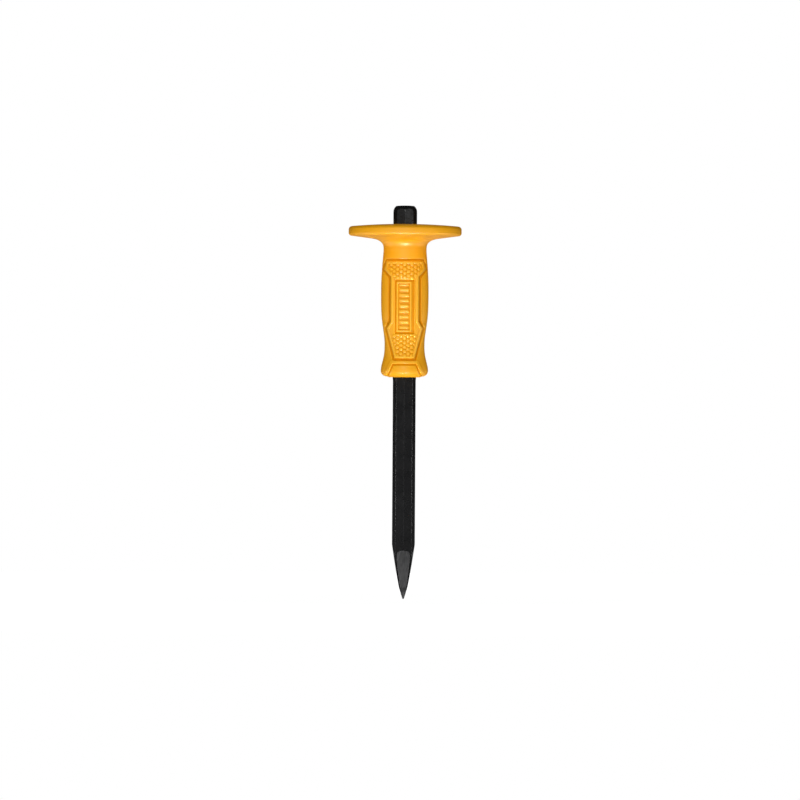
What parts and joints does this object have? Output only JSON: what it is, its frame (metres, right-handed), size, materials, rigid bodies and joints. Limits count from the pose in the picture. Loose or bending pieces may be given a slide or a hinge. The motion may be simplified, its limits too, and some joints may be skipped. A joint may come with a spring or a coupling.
{
  "type": "cold chisel",
  "caption": "Pointed cold chisel: black octagonal steel bar with a rounded struck head and a ground point, in an orange moulded grip with a round hand guard.",
  "frame": {"origin": "tip of the point, on the bar's axis", "axes": "+Z along the bar from the tip to the struck head; edges of the octagon on the X and Y axes; the grip's panels face -Y and +Y"},
  "size_m": [0.0862, 0.0862, 0.3],
  "materials": {
    "black_lacquered_steel": "semi-gloss black, bare ground steel on the point",
    "orange_moulding": "satin moulded plastic"
  },
  "bodies": {
    "root": {"chisel_bar": "black_lacquered_steel", "guard_grip": "orange_moulding"}
  },
  "joints": []
}
